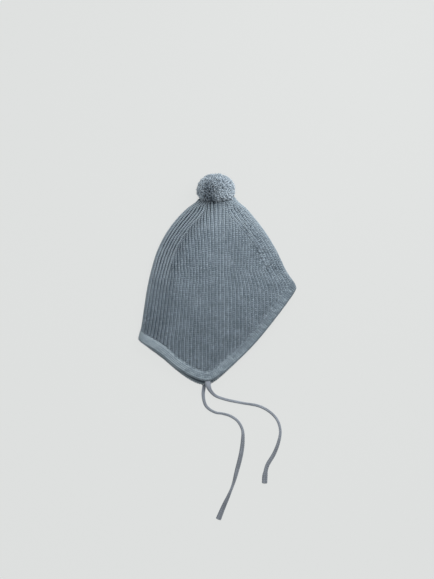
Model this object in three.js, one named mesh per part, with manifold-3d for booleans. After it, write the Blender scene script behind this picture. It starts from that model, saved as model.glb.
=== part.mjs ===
// A baby's knitted pom-pom bonnet with two ties, folded flat on its side and lying on a table.
// Millimetres. +X is the forehead side, +Y points to the pompom, +Z is up, z = 0 is the table.
import * as THREE from 'three';
import Module from 'manifold-3d';
import { mergeVertices } from 'three/addons/utils/BufferGeometryUtils.js';

const wasm = await Module();
wasm.setup();

// ---------------------------------------------------------------- driving dimensions
const ORIGIN = { x: -0.6, y: -0.7 };   // middle of the hat without its ties, as the tables count

const CLEARANCE = 0.3;          // gap between pieces that touch
const SEAT_CLEARANCE = 0.8;     // the same under the pompom, where both faces are curved
const BAND_CLEARANCE = 0.45;    // the same between the crown's edge and the brim strip
const WALL = 2.6;               // ribbed knit, from the crest of a rib to the inside
const RIB_DEPTH = 1.2;          // depth of the furrow between two ribs
const RIBS_PER_QUARTER = 23;    // ribs from the middle of a layer to a fold
const STRIP_RIBS = 7;           // ribs beside a fold that run unbroken up to the gather
const FULL_HALF_WIDTH = 82;     // half the width where every rib is there
const PEEL = 1.7;               // how far ribs that end at the strip bend along it, in ribs
const PEEL_REACH = 3;           // how many ribs from the strip that bend fades over
const SMALLEST_RIB = 0.2;       // a rib this narrow, as a share of a full one, has ended

const BAND_WIDTH = 10.5;        // the plain knit strip round the brim
const BAND_PROUD = 0.6;         // how far the strip stands over the rib crests
const BAND_INSIDE = 2.5;        // how far it reaches in from the rib crests

const MOUTH_SQUASH = 0.75;      // height left at the brim, as a share of the puffed height
const MOUTH_REACH = 70;         // how far above the brim the two layers start to close
const FLANK = 0.4;              // share of a quarter where creases and dents fade to the fold
const GATHER_RANGE = { low: 80, high: 104 };    // heights between which the ribs are gathered
const BRIM_RANGE = { low: -140, high: 0 };      // heights between which the brim runs

const POMPOM = {
  x: -2.2, y: 106.2, z: 20.5,   // middle
  wide: 23.4, far: 19.8, near: 13, tall: 21.5,   // reach to the sides, outward, to the hat, up
  fullness: { far: 2.1, near: 3 },    // 2 is an ellipsoid, more is boxier
  detail: 8,                    // times each edge of the icosahedron under it is divided
  locks: 64,
  lockRelief: 0.07,             // depth between locks, as a share of the reach
  seat: { from: -0.75, to: -0.35 },   // locks fade out between these towards the hat
};

const TIE_DIAMETER = 3.8;
const TIE_HEIGHT = 2;           // middle of a tie that lies on the table
const TIE_ROOT_Y = -110;        // height on the flap where the rib line nearest a tie is sought
const TIE_SIDES = 8;
const TIE_STEPS = 24;

// Sections across the hat, from the gather down to the flap. left and right are the two folds,
// top and under the two layers, fold the height of the folds, and curl how far in from a fold
// the lower layer leaves the table.
const SECTIONS = [
  { y: 100, left: -21, right: 20, top: 27, under: 9, fold: 18, curl: 20 },
  { y: 93, left: -25.6, right: 24.4, top: 27, under: 7, fold: 16.5, curl: 22 },
  { y: 85, left: -36.5, right: 34, top: 25.5, under: 3.5, fold: 12.5, curl: 22 },
  { y: 72, left: -49.6, right: 45.4, top: 22.5, under: 0, fold: 9.5, curl: 18 },
  { y: 56, left: -61.6, right: 57.6, top: 20, under: 0, fold: 8, curl: 14 },
  { y: 35, left: -72.4, right: 70.2, top: 18.5, under: 0, fold: 7.5, curl: 12 },
  { y: 10, left: -80.2, right: 82.4, top: 18, under: 0, fold: 7.5, curl: 12 },
  { y: -10, left: -84.6, right: 94.2, top: 18, under: 0, fold: 8, curl: 11 },
  { y: -35, left: -88.6, right: 96, top: 17.5, under: 0, fold: 8, curl: 11 },
  { y: -60, left: -92.4, right: 97, top: 17, under: 0, fold: 8, curl: 11 },
  { y: -73, left: -95.6, right: 97, top: 16.5, under: 0, fold: 8.2, curl: 11 },
  { y: -100, left: -96, right: 97, top: 16, under: 0, fold: 8, curl: 11 },
  { y: -130, left: -96, right: 97, top: 15.5, under: 0, fold: 8, curl: 11 },
];

// How the upper layer climbs from a fold: rim is the height of the fold's round and round how
// far in it goes, and reach is how far in the layer goes on climbing, gently, to the top.
const SHOULDERS = [
  { y: 100, rim: 9, round: 18, reach: 20 },
  { y: 93, rim: 9, round: 16, reach: 22 },
  { y: 85, rim: 8, round: 12, reach: 28 },
  { y: 72, rim: 6.5, round: 9, reach: 32 },
  { y: 56, rim: 5.2, round: 6.5, reach: 36 },
  { y: 35, rim: 4.8, round: 5.5, reach: 40 },
  { y: 10, rim: 4.8, round: 5.5, reach: 40 },
  { y: -10, rim: 5.4, round: 5.5, reach: 36 },
  { y: -35, rim: 6, round: 6.5, reach: 30 },
  { y: -60, rim: 6.8, round: 8, reach: 22 },
  { y: -73, rim: 7.4, round: 9.5, reach: 20 },
  { y: -100, rim: 7.4, round: 9.5, reach: 20 },
  { y: -130, rim: 7.4, round: 9.5, reach: 20 },
];

// Width of a strip rib, as a share of a full one: wide where the strip runs aslant, then gathered.
const STRIP_WIDTHS = [
  { y: 102, width: 0.5 },
  { y: 94, width: 0.66 },
  { y: 88, width: 0.84 },
  { y: 82, width: 1.05 },
  { y: 76, width: 1.15 },
  { y: 65, width: 1.15 },
  { y: 45, width: 1.04 },
  { y: 20, width: 1 },
  { y: -130, width: 1 },
];

// Soft folds that run out from the gather along the two lines where the ribs end.
const CREASES = [
  { y: 100, left: -12, right: 12, riseLeft: 0, riseRight: 0 },
  { y: 86, left: -15, right: 22, riseLeft: 0.9, riseRight: 0.3 },
  { y: 74, left: -23, right: 29, riseLeft: 1.9, riseRight: 0.7 },
  { y: 49, left: -46, right: 42, riseLeft: 1.7, riseRight: 0.8 },
  { y: 28, left: -55, right: 53, riseLeft: 0.7, riseRight: 0.4 },
  { y: 5, left: -60, right: 66, riseLeft: 0, riseRight: 0 },
];
const CREASE_WIDTH = 6;

// Broad shallow dents of the upper layer.
const DENTS = [
  { x: -46, y: -34, across: 22, along: 34, depth: 1.6 },
  { x: 14, y: 8, across: 20, along: 42, depth: 1.1 },
  { x: -8, y: -84, across: 24, along: 20, depth: 1.3 },
  { x: 56, y: -14, across: 20, along: 24, depth: 1.2 },
];

// The brim from the nape corner, down round the ear flap and up to the forehead corner.
// The lower flap shows a little past the upper one.
const BRIM = [
  { x: -96, upper: -71, lower: -71 },
  { x: -93, upper: -75, lower: -75 },
  { x: -86, upper: -79.4, lower: -80.4 },
  { x: -78, upper: -84, lower: -86.4 },
  { x: -66, upper: -92.5, lower: -95.2 },
  { x: -51, upper: -105, lower: -108.2 },
  { x: -36, upper: -114.5, lower: -119.2 },
  { x: -22, upper: -120.4, lower: -126 },
  { x: -12, upper: -122, lower: -127 },
  { x: -2, upper: -118.5, lower: -121.5 },
  { x: 8, upper: -111.5, lower: -113 },
  { x: 22, upper: -99.2, lower: -99.8 },
  { x: 36, upper: -85.8, lower: -86 },
  { x: 50, upper: -70.6, lower: -70.6 },
  { x: 65, upper: -52, lower: -52 },
  { x: 80, upper: -32.5, lower: -32.5 },
  { x: 88, upper: -21.4, lower: -21.4 },
  { x: 92.5, upper: -14.6, lower: -14.6 },
  { x: 96, upper: -6, lower: -6 },
];

// Level rows of the crown's outside above the slanting brim, and shares of the way from the
// last of them down to the brim.
const LEVEL_ROWS = [86.5, 80, 73.5, 67, 60.5, 54, 47, 40, 32, 24, 15, 5];
const SLANTED_ROWS = [0.2, 0.42, 0.66, 0.88, 1];
const INNER_LEVEL_ROWS = [83, 73.5, 60.5, 47, 32, 15];
const INNER_SLANTED_ROWS = [0.2, 0.6, 1];
const DISH_RINGS = [0.88, 0.72, 0.5, 0.25];

// Cross-section of the brim strip: along is the share of its width from the crown to the free
// edge, out the height over the rib crests.
const BAND_SECTION = [
  { along: 0, out: 0 },
  { along: 0.1, out: BAND_PROUD * 0.9 },
  { along: 0.5, out: BAND_PROUD },
  { along: 0.92, out: BAND_PROUD * 0.5 },
  { along: 1, out: -0.8 },
  { along: 1, out: -1.8 },
  { along: 0.92, out: -BAND_INSIDE },
  { along: 0.1, out: -BAND_INSIDE },
  { along: 0, out: -2.1 },
];

// Each tie from its root at a flap tip to its free end.
const UPPER_TIE = {
  route: [
    { x: -11.2, y: -128.5, z: 9 },
    { x: -8.8, y: -134, z: 6 },
    { x: -3.1, y: -140.2, z: 3.3 },
    { x: 7.1, y: -144.4, z: 2.1 },
    { x: 29.2, y: -149.3, z: TIE_HEIGHT },
    { x: 49.8, y: -153.1, z: TIE_HEIGHT },
    { x: 62.8, y: -160.1, z: TIE_HEIGHT },
    { x: 71.9, y: -170.2, z: TIE_HEIGHT },
    { x: 75.4, y: -183.1, z: TIE_HEIGHT },
    { x: 73.5, y: -195.9, z: TIE_HEIGHT },
    { x: 68, y: -210.4, z: TIE_HEIGHT },
    { x: 59.7, y: -224.8, z: TIE_HEIGHT },
    { x: 57.2, y: -235.2, z: TIE_HEIGHT },
    { x: 56.4, y: -246.7, z: TIE_HEIGHT },
  ],
  rootX: -12.3,
  layer: 'upper',
  tip: { length: 14, narrow: 2.9, wide: 3.2 },
};
const LOWER_TIE = {
  route: [
    { x: -17.4, y: -140.2, z: TIE_HEIGHT },
    { x: -13.8, y: -153.2, z: TIE_HEIGHT },
    { x: -3.3, y: -160.6, z: TIE_HEIGHT },
    { x: 5.8, y: -162.2, z: TIE_HEIGHT },
    { x: 14.9, y: -164.9, z: TIE_HEIGHT },
    { x: 24.1, y: -171.2, z: TIE_HEIGHT },
    { x: 29.8, y: -181.8, z: TIE_HEIGHT },
    { x: 30.2, y: -194.8, z: TIE_HEIGHT },
    { x: 28.2, y: -210.4, z: TIE_HEIGHT },
    { x: 23.4, y: -229.9, z: TIE_HEIGHT },
    { x: 18.7, y: -246.8, z: TIE_HEIGHT },
    { x: 13.6, y: -259.9, z: TIE_HEIGHT },
    { x: 7.1, y: -274.2, z: TIE_HEIGHT },
    { x: 0.5, y: -290.1, z: TIE_HEIGHT },
  ],
  rootX: -16.1,
  layer: 'lower',
  tip: { length: 28, narrow: 1.9, wide: 3.1 },
};

// ---------------------------------------------------------------- small helpers
const { clamp, lerp, smoothstep } = THREE.MathUtils;

// A smooth function through a table, giving every other column for a value of the key column.
function smoothTable(rows, key) {
  const sorted = [...rows].sort((a, b) => a[key] - b[key]);
  const names = Object.keys(rows[0]).filter((name) => name !== key);
  const places = sorted.map((row) => row[key]);
  const values = sorted.flatMap((row) => names.map((name) => row[name]));
  const curve = new THREE.CubicInterpolant(places, values, names.length);
  return (place) => {
    const found = curve.evaluate(place);
    return Object.fromEntries(names.map((name, i) => [name, found[i]]));
  };
}

const hatAt = smoothTable(SECTIONS, 'y');
const shoulderAt = smoothTable(SHOULDERS, 'y');
const brimAt = smoothTable(BRIM, 'x');
const stripAt = smoothTable(STRIP_WIDTHS, 'y');
const creaseAt = smoothTable(CREASES, 'y');

// The y of a line that runs a fixed distance inside the brim of one layer.
function brimLine(x, layer, inside) {
  const step = 0.5;
  const slope = (brimAt(x + step)[layer] - brimAt(x - step)[layer]) / (2 * step);
  return brimAt(x)[layer] + inside * Math.hypot(1, slope);
}

// Where a rising quantity crosses zero between low and high.
function crossing({ low, high }, quantity) {
  let from = low;
  let to = high;
  for (let i = 0; i < 40; i += 1) {
    const middle = (from + to) / 2;
    if (quantity(middle) > 0) to = middle;
    else from = middle;
  }
  return (from + to) / 2;
}

// ---------------------------------------------------------------- the hat's outer surface
// A place on the surface is a turn and a y. The turn counts quarters round the section: 0 at the
// left fold, 1 at the middle of the upper layer, 2 at the right fold, 3 at the middle below.
const QUARTERS = [
  { layer: 'upper', side: 'left', fromFold: true },
  { layer: 'upper', side: 'right', fromFold: false },
  { layer: 'lower', side: 'right', fromFold: true },
  { layer: 'lower', side: 'left', fromFold: false },
];
const QUARTER_STEPS = 28;

// What the creases add to the upper layer and the dents take from it.
function relief(x, y) {
  const crease = creaseAt(y);
  const bump = (middle, height) => height * Math.exp(-(((x - middle) / CREASE_WIDTH) ** 2));
  const folds = bump(crease.left, crease.riseLeft) + bump(crease.right, crease.riseRight);
  const hollows = DENTS.map((dent) => {
    const away = Math.hypot((x - dent.x) / dent.across, (y - dent.y) / dent.along);
    return dent.depth * Math.exp(-(away ** 2));
  });
  return folds - hollows.reduce((sum, depth) => sum + depth, 0);
}

// A point of one quarter, from 0 at the middle of the layer to 1 at the fold.
function quarterPoint(row, shoulder, y, quarter, share) {
  const fold = Math.abs(row[quarter.side]);
  const upper = quarter.layer === 'upper';
  const flat = Math.max(0, fold - (upper ? shoulder.round : row.curl));
  const turn = Math.max(0, 2 * share - 1) * Math.PI / 2;
  const out = flat * Math.min(1, 2 * share) + (fold - flat) * Math.sin(turn);
  const x = out * Math.sign(row[quarter.side]);
  if (!upper) {
    const under = Math.max(row.under, 0);
    return new THREE.Vector2(x, under + (row.fold - under) * (1 - Math.cos(turn)));
  }
  const rim = shoulder.rim * Math.cos(turn);
  const rise = (row.top - row.fold - shoulder.rim) * smoothstep(fold - out, 0, shoulder.reach);
  const flank = smoothstep(1 - share, 0, FLANK);
  return new THREE.Vector2(x, row.fold + rim + rise + relief(x, y) * flank);
}

const sectionCache = new Map();

// The closed section at one y, with the length along it at every point and at each quarter.
function section(y) {
  if (sectionCache.has(y)) return sectionCache.get(y);
  const row = hatAt(y);
  const shoulder = shoulderAt(y);
  const points = [];
  const lengths = [];
  const marks = [0];
  let length = 0;
  for (const quarter of QUARTERS) {
    for (let i = 0; i <= QUARTER_STEPS; i += 1) {
      const share = i / QUARTER_STEPS;
      const point = quarterPoint(row, shoulder, y, quarter, quarter.fromFold ? 1 - share : share);
      if (points.length) length += point.distanceTo(points.at(-1));
      points.push(point);
      lengths.push(length);
    }
    marks.push(length);
  }
  const made = { points, lengths, marks };
  sectionCache.set(y, made);
  return made;
}

// The two layers close towards the brim.
function mouthShare(x, y, layer) {
  const above = clamp((y - brimAt(x)[layer]) / MOUTH_REACH, 0, 1);
  return 1 - (1 - MOUTH_SQUASH) * (1 - above) ** 2;
}

function surface(turn, y) {
  const { points, lengths, marks } = section(y);
  const wrapped = ((turn % 4) + 4) % 4;
  const quarter = Math.floor(wrapped);
  const along = lerp(marks[quarter], marks[quarter + 1], wrapped - quarter);
  let next = quarter * (QUARTER_STEPS + 1) + 1;
  while (lengths[next] < along && next < lengths.length - 1) next += 1;
  const stretch = lengths[next] - lengths[next - 1];
  const share = stretch > 0 ? (along - lengths[next - 1]) / stretch : 0;
  const place = points[next - 1].clone().lerp(points[next], share);
  const z = place.y * mouthShare(place.x, y, QUARTERS[quarter].layer);
  return new THREE.Vector3(place.x, y, z);
}

// A point a little inside or outside the surface, along its outward normal, never under z = 0.
function offsetSurface(turn, y, out) {
  const step = 0.02;
  const around = surface(turn + step, y).sub(surface(turn - step, y));
  const down = surface(turn, y - 1).sub(surface(turn, y + 1));
  const normal = around.cross(down).normalize().negate();
  const point = surface(turn, y).addScaledVector(normal, out);
  point.z = Math.max(point.z, 0);
  return point;
}

// ---------------------------------------------------------------- ribs
// Every rib gives two slots round the hat, its furrow and its crest. Where the hat narrows,
// ribs of the middle block end one by one against the strip of ribs beside the fold.
const BLOCK_RIBS = RIBS_PER_QUARTER - STRIP_RIBS;

function ribCounts(side, y) {
  const strip = stripAt(y).width;
  const room = Math.abs(hatAt(y)[side]) / FULL_HALF_WIDTH * RIBS_PER_QUARTER;
  const block = clamp(room - strip * STRIP_RIBS, 1, BLOCK_RIBS);
  return { strip, block, total: block + strip * STRIP_RIBS };
}

const SLOTS = QUARTERS.flatMap((quarter, index) => {
  const ribs = [...Array(RIBS_PER_QUARTER).keys()];
  if (quarter.fromFold) ribs.reverse();
  return ribs.flatMap((rib) => [
    { quarter, index, rib, crest: false },
    { quarter, index, rib, crest: true },
  ]);
});

// The width of a slot's rib, as a share of a full one: the last rib of the block is part grown.
function ribWidth(slot, y) {
  const { strip, block } = ribCounts(slot.quarter.side, y);
  return slot.rib >= BLOCK_RIBS ? strip : clamp(block - slot.rib, 0, 1);
}

function isThere(slot, y) {
  return ribWidth(slot, y) > SMALLEST_RIB;
}

// Ribs that end at the strip peel away from it in a curve instead of meeting it at an angle.
function peeled(units, block) {
  if (units >= block) return units;
  const bend = PEEL * (1 - (block / BLOCK_RIBS) ** 3);
  const away = (ribs) => ribs - bend * (1 - Math.exp(-ribs / PEEL_REACH));
  return block * (1 - away(block - units) / away(block));
}

function turnOf(slot, y) {
  const { strip, block, total } = ribCounts(slot.quarter.side, y);
  const width = ribWidth(slot, y);
  const inStrip = slot.rib >= BLOCK_RIBS;
  const near = inStrip ? block + (slot.rib - BLOCK_RIBS) * strip : Math.min(slot.rib, block);
  const furrow = slot.quarter.fromFold ? near + width : near;
  const units = slot.crest ? near + width / 2 : furrow;
  const share = peeled(units, block) / total;
  return slot.index + (slot.quarter.fromFold ? 1 - share : share);
}

// The y where each slot's line meets a line that runs some way inside the brim. A crest ends
// straight between the furrows beside it, so the edge follows the strip's facets.
function edgeHeights(inside) {
  const heights = SLOTS.map((slot) => crossing(BRIM_RANGE, (y) => {
    const x = surface(turnOf(slot, y), y).x;
    return y - brimLine(x, slot.quarter.layer, inside);
  }));
  return new Map(SLOTS.map((slot, i) => {
    const next = heights[(i + 1) % heights.length];
    return [slot, slot.crest ? (heights.at(i - 1) + next) / 2 : heights[i]];
  }));
}

// ---------------------------------------------------------------- meshes from rings of slots
class Surface {
  constructor() {
    this.positions = [];
    this.triangles = [];
  }

  addPoint(point) {
    this.positions.push(point.x, point.y, point.z);
    return this.positions.length / 3 - 1;
  }

  addTriangle(a, b, c) {
    if (a !== b && b !== c && c !== a) this.triangles.push(a, b, c);
  }

  // Joins two rings of equal slot count; slots that share a point leave a triangle out.
  join(upper, lower) {
    for (let i = 0; i < upper.length; i += 1) {
      const j = (i + 1) % upper.length;
      this.addTriangle(upper[i], lower[j], upper[j]);
      this.addTriangle(upper[i], lower[i], lower[j]);
    }
  }

  toGeometry() {
    const geometry = new THREE.BufferGeometry();
    geometry.setAttribute('position', new THREE.Float32BufferAttribute(this.positions, 3));
    geometry.setIndex(this.triangles);
    geometry.computeVertexNormals();
    return geometry;
  }
}

// A ring with a point for each slot that is kept; the others take the next kept slot's point.
function ring(target, keep, place) {
  const numbers = SLOTS.map((slot) => (keep(slot) ? target.addPoint(place(slot)) : -1));
  for (let pass = 0; pass < 2; pass += 1) {
    for (let i = numbers.length - 1; i >= 0; i -= 1) {
      if (numbers[i] < 0) numbers[i] = numbers[(i + 1) % numbers.length];
    }
  }
  return numbers;
}

// ---------------------------------------------------------------- pompom
function pompomReach(direction) {
  const { wide, far, near, tall, fullness } = POMPOM;
  const [deep, power] = direction.y > 0 ? [far, fullness.far] : [near, fullness.near];
  const out = Math.hypot(direction.x / wide, direction.z / tall);
  return (out ** power + Math.abs(direction.y / deep) ** power) ** (-1 / power);
}

// The hat's end follows the pompom's round face.
function seatY(x, z) {
  const { wide, near, tall, fullness } = POMPOM;
  const out = Math.hypot((x - POMPOM.x) / wide, (z - POMPOM.z) / tall);
  const depth = Math.max(0, 1 - out ** fullness.near) ** (1 / fullness.near);
  return POMPOM.y - near * depth - SEAT_CLEARANCE;
}

// Directions spread evenly over a ball, one for each lock of yarn.
const LOCK_DIRECTIONS = [...Array(POMPOM.locks).keys()].map((i) => {
  const height = 1 - (2 * i + 1) / POMPOM.locks;
  const angle = i * Math.PI * (3 - Math.sqrt(5));
  const radius = Math.sqrt(1 - height * height);
  return new THREE.Vector3(radius * Math.cos(angle), height, radius * Math.sin(angle));
});

// Depth below the outer form: nothing on the top of a lock, most between the locks, and
// nothing where the pompom sits on the hat.
function lockDepth(direction) {
  const nearest = Math.min(...LOCK_DIRECTIONS.map((lock) => lock.angleTo(direction)));
  const edge = Math.sqrt(4 / POMPOM.locks);
  const free = smoothstep(direction.y, POMPOM.seat.from, POMPOM.seat.to);
  return POMPOM.lockRelief * Math.min(1, nearest / edge) ** 2 * free;
}

function makePompom() {
  const geometry = new THREE.IcosahedronGeometry(1, POMPOM.detail);
  geometry.deleteAttribute('normal');
  geometry.deleteAttribute('uv');
  const merged = mergeVertices(geometry, 1e-4);
  const positions = merged.attributes.position;
  for (let i = 0; i < positions.count; i += 1) {
    const direction = new THREE.Vector3().fromBufferAttribute(positions, i).normalize();
    const point = direction.clone().multiplyScalar(pompomReach(direction) * (1 - lockDepth(direction)));
    positions.setXYZ(i, point.x, point.y, Math.max(point.z, -POMPOM.z));
  }
  merged.computeVertexNormals();
  return merged;
}

// ---------------------------------------------------------------- crown
function makeCrown() {
  const mesh = new Surface();
  const outsideAt = (slot, y) => offsetSurface(turnOf(slot, y), y, slot.crest ? 0 : -RIB_DEPTH);
  const insideAt = (slot, y) => offsetSurface(turnOf(slot, y), y, -WALL);
  const edges = edgeHeights(BAND_WIDTH + BAND_CLEARANCE);

  // the dish under the pompom, from its middle out to the gather
  const gatherY = (slot) => crossing(GATHER_RANGE, (y) => {
    const point = surface(turnOf(slot, LEVEL_ROWS[0]), y);
    return y - seatY(point.x, point.z);
  });
  const top = LEVEL_ROWS[0];
  const gather = (slot) => {
    const point = offsetSurface(turnOf(slot, top), gatherY(slot), slot.crest ? 0 : -RIB_DEPTH);
    return point.setY(seatY(point.x, point.z));
  };
  const kept = (slot) => isThere(slot, top);
  const furrows = (slot) => kept(slot) && !slot.crest;
  const dishPoint = (slot, share) => {
    const rim = gather(slot);
    const x = lerp(POMPOM.x, rim.x, share);
    const z = lerp(POMPOM.z, rim.z, share);
    return new THREE.Vector3(x, seatY(x, z), z);
  };
  const middle = mesh.addPoint(new THREE.Vector3(POMPOM.x, seatY(POMPOM.x, POMPOM.z), POMPOM.z));
  let last = SLOTS.map(() => middle);
  for (const share of [...DISH_RINGS].reverse()) {
    const next = ring(mesh, furrows, (slot) => dishPoint(slot, share));
    mesh.join(last, next);
    last = next;
  }

  // the ribbed outside, down to the brim strip
  const outer = [ring(mesh, kept, gather)];
  for (const y of LEVEL_ROWS) {
    outer.push(ring(mesh, (slot) => isThere(slot, y), (slot) => outsideAt(slot, y)));
  }
  for (const share of SLANTED_ROWS) {
    const level = LEVEL_ROWS.at(-1);
    outer.push(ring(mesh, () => true, (slot) => outsideAt(slot, lerp(level, edges.get(slot), share))));
  }
  for (const next of outer) {
    mesh.join(last, next);
    last = next;
  }

  // the smooth inside, back up from the brim and closed behind the gather
  const level = INNER_LEVEL_ROWS.at(-1);
  for (const share of [...INNER_SLANTED_ROWS].reverse()) {
    const next = ring(mesh, (slot) => !slot.crest, (slot) => (
      insideAt(slot, lerp(level, edges.get(slot), share))));
    mesh.join(last, next);
    last = next;
  }
  for (const y of [...INNER_LEVEL_ROWS].reverse()) {
    const next = ring(mesh, (slot) => isThere(slot, y) && !slot.crest, (slot) => insideAt(slot, y));
    mesh.join(last, next);
    last = next;
  }
  const deep = INNER_LEVEL_ROWS[0];
  const { top: high, under: low } = hatAt(deep);
  const back = mesh.addPoint(new THREE.Vector3(0, deep, (high + low) / 2));
  mesh.join(last, SLOTS.map(() => back));
  return mesh.toGeometry();
}

// ---------------------------------------------------------------- brim strip
function makeBrimBand() {
  const mesh = new Surface();
  const crownSide = edgeHeights(BAND_WIDTH);
  const freeEdge = edgeHeights(0);
  const stations = SLOTS.filter((slot) => !slot.crest);
  const loops = stations.map((slot) => {
    return BAND_SECTION.map(({ along, out }) => {
      const y = lerp(crownSide.get(slot), freeEdge.get(slot), along);
      return mesh.addPoint(offsetSurface(turnOf(slot, y), y, out));
    });
  });
  loops.forEach((loop, i) => mesh.join(loops[(i + 1) % loops.length], loop));
  return mesh.toGeometry();
}

// ---------------------------------------------------------------- ties
function toManifold(geometry) {
  const plain = geometry.clone();
  plain.deleteAttribute('normal');
  plain.deleteAttribute('uv');
  const merged = mergeVertices(plain, 1e-4);
  const vertProperties = Float32Array.from(merged.attributes.position.array);
  const triVerts = Uint32Array.from(merged.index.array);
  return new wasm.Manifold(new wasm.Mesh({ numProp: 3, vertProperties, triVerts }));
}

function fromManifold(solid) {
  const { vertProperties, triVerts } = solid.getMesh();
  const geometry = new THREE.BufferGeometry();
  geometry.setAttribute('position', new THREE.Float32BufferAttribute(vertProperties, 3));
  geometry.setIndex([...triVerts]);
  geometry.computeVertexNormals();
  return geometry;
}

// The place just off the free edge of the brim strip where a tie starts.
function tieRoot({ rootX, layer }) {
  const candidates = SLOTS.filter((slot) => slot.quarter.layer === layer && !slot.crest);
  const distance = (slot) => Math.abs(surface(turnOf(slot, TIE_ROOT_Y), TIE_ROOT_Y).x - rootX);
  const nearest = candidates.reduce((best, slot) => (distance(slot) < distance(best) ? slot : best));
  const y = brimAt(rootX)[layer];
  const edge = offsetSurface(turnOf(nearest, y), y, -BAND_INSIDE / 2);
  return new THREE.Vector3(rootX, y - CLEARANCE, Math.max(edge.z, TIE_HEIGHT));
}

function makeTie(tie) {
  const points = [tieRoot(tie), ...tie.route.map(({ x, y, z }) => new THREE.Vector3(x, y, z))];
  const path = new THREE.CatmullRomCurve3(points, false, 'centripetal');
  const profile = new THREE.Shape();
  profile.setFromPoints([...Array(TIE_SIDES).keys()].map((i) => {
    const angle = (i + 0.5) / TIE_SIDES * 2 * Math.PI;
    return new THREE.Vector2(Math.cos(angle), Math.sin(angle)).multiplyScalar(TIE_DIAMETER / 2);
  }));
  const options = { steps: TIE_STEPS, bevelEnabled: false, extrudePath: path };
  const cord = new THREE.ExtrudeGeometry(profile, options);

  // the flat knitted end, wider than the cord
  const { length, narrow, wide } = tie.tip;
  const end = points.at(-1);
  const direction = end.clone().sub(points.at(-2)).normalize();
  const tip = new THREE.CylinderGeometry(wide, narrow, length, TIE_SIDES);
  tip.rotateY(Math.PI / TIE_SIDES);
  tip.scale(1, 1, TIE_DIAMETER / 2 / wide);
  const turned = new THREE.Matrix4().makeBasis(
    new THREE.Vector3(direction.y, -direction.x, 0), direction, new THREE.Vector3(0, 0, 1));
  tip.applyMatrix4(turned);
  const middle = end.clone().addScaledVector(direction, 0.2 - length / 2);
  tip.translate(middle.x, middle.y, middle.z);
  return fromManifold(toManifold(cord).add(toManifold(tip)));
}

// ---------------------------------------------------------------- assembly
const wool = (color) => new THREE.MeshStandardMaterial({ color, roughness: 0.95, metalness: 0 });

function piece(name, geometry, color) {
  const mesh = new THREE.Mesh(geometry, wool(color));
  mesh.name = name;
  return mesh;
}

const hat = new THREE.Group();
hat.position.set(-ORIGIN.x, -ORIGIN.y, 0);
const pompom = piece('pompom', makePompom(), 0x8494a0);
pompom.position.set(POMPOM.x, POMPOM.y, POMPOM.z);
hat.add(
  piece('crown', makeCrown(), 0x6f7c85),
  piece('brim_band', makeBrimBand(), 0x7c8a94),
  pompom,
  piece('tie_upper', makeTie(UPPER_TIE), 0x73818b),
  piece('tie_lower', makeTie(LOWER_TIE), 0x73818b),
);

export default hat;
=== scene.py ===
import math

import bmesh
import bpy
import numpy as np
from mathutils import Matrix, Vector


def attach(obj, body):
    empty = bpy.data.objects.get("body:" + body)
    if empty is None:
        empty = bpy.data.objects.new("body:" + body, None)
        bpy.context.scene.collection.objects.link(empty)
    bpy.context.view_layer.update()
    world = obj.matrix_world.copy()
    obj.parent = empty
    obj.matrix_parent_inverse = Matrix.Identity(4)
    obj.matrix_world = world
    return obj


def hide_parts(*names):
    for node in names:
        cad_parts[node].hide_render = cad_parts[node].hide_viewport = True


# Looks of a baby's knitted pom-pom bonnet with two ties, folded flat and lying on a table.
# The forms repeat the sizes of the CAD source in millimetres, and make_mesh turns them into
# the frame's metres.
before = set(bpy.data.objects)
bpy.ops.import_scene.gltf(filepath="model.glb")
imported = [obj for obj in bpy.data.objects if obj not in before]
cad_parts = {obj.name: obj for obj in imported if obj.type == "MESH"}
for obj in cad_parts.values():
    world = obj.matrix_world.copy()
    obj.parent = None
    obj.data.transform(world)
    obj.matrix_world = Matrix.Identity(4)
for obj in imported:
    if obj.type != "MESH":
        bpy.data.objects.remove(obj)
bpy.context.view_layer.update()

rng = np.random.default_rng(7)
MM = 0.001
SHIFT = np.array([0.6, 0.7, 0.0])  # from the tables' origin to the frame's, in mm

# ---------------- camera
# Straight overhead. The picture's middle lies a little under the hat's, because of the ties.
PICTURE_HEIGHT = 579
MM_PER_PIXEL = 1.2
SENSOR = 36  # mm, along the picture's longer side
VIEW_MIDDLE_X, VIEW_MIDDLE_Y = -0.0003, -0.0119
VIEW_PLANE_Z = 0.011
CAMERA_DISTANCE = 2.2

camera_data = bpy.data.cameras.new("camera")
camera = bpy.data.objects.new("camera", camera_data)
bpy.context.scene.collection.objects.link(camera)
camera_data.sensor_width = SENSOR
camera_data.lens = SENSOR * CAMERA_DISTANCE / (PICTURE_HEIGHT * MM_PER_PIXEL * MM)
camera_data.clip_start, camera_data.clip_end = 0.1, 20
camera.location = (VIEW_MIDDLE_X, VIEW_MIDDLE_Y, VIEW_PLANE_Z + CAMERA_DISTANCE)
bpy.context.scene.camera = camera

# ---------------- sizes repeated from the source
WALL = 2.6
RIB_DEPTH = 1.2
RIBS_PER_QUARTER = 23
STRIP_RIBS = 7
BLOCK_RIBS = RIBS_PER_QUARTER - STRIP_RIBS
FULL_HALF_WIDTH = 82
PEEL = 1.7
PEEL_REACH = 3.0
BAND_WIDTH = 10.5
BAND_INSIDE = 2.5
MOUTH_SQUASH = 0.75
MOUTH_REACH = 70
CREASE_WIDTH = 6
POMPOM = {"x": -2.2, "y": 106.2, "z": 20.5, "wide": 23.4, "far": 19.8, "near": 13,
          "tall": 21.5, "far_fullness": 2.1, "near_fullness": 3}

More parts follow.
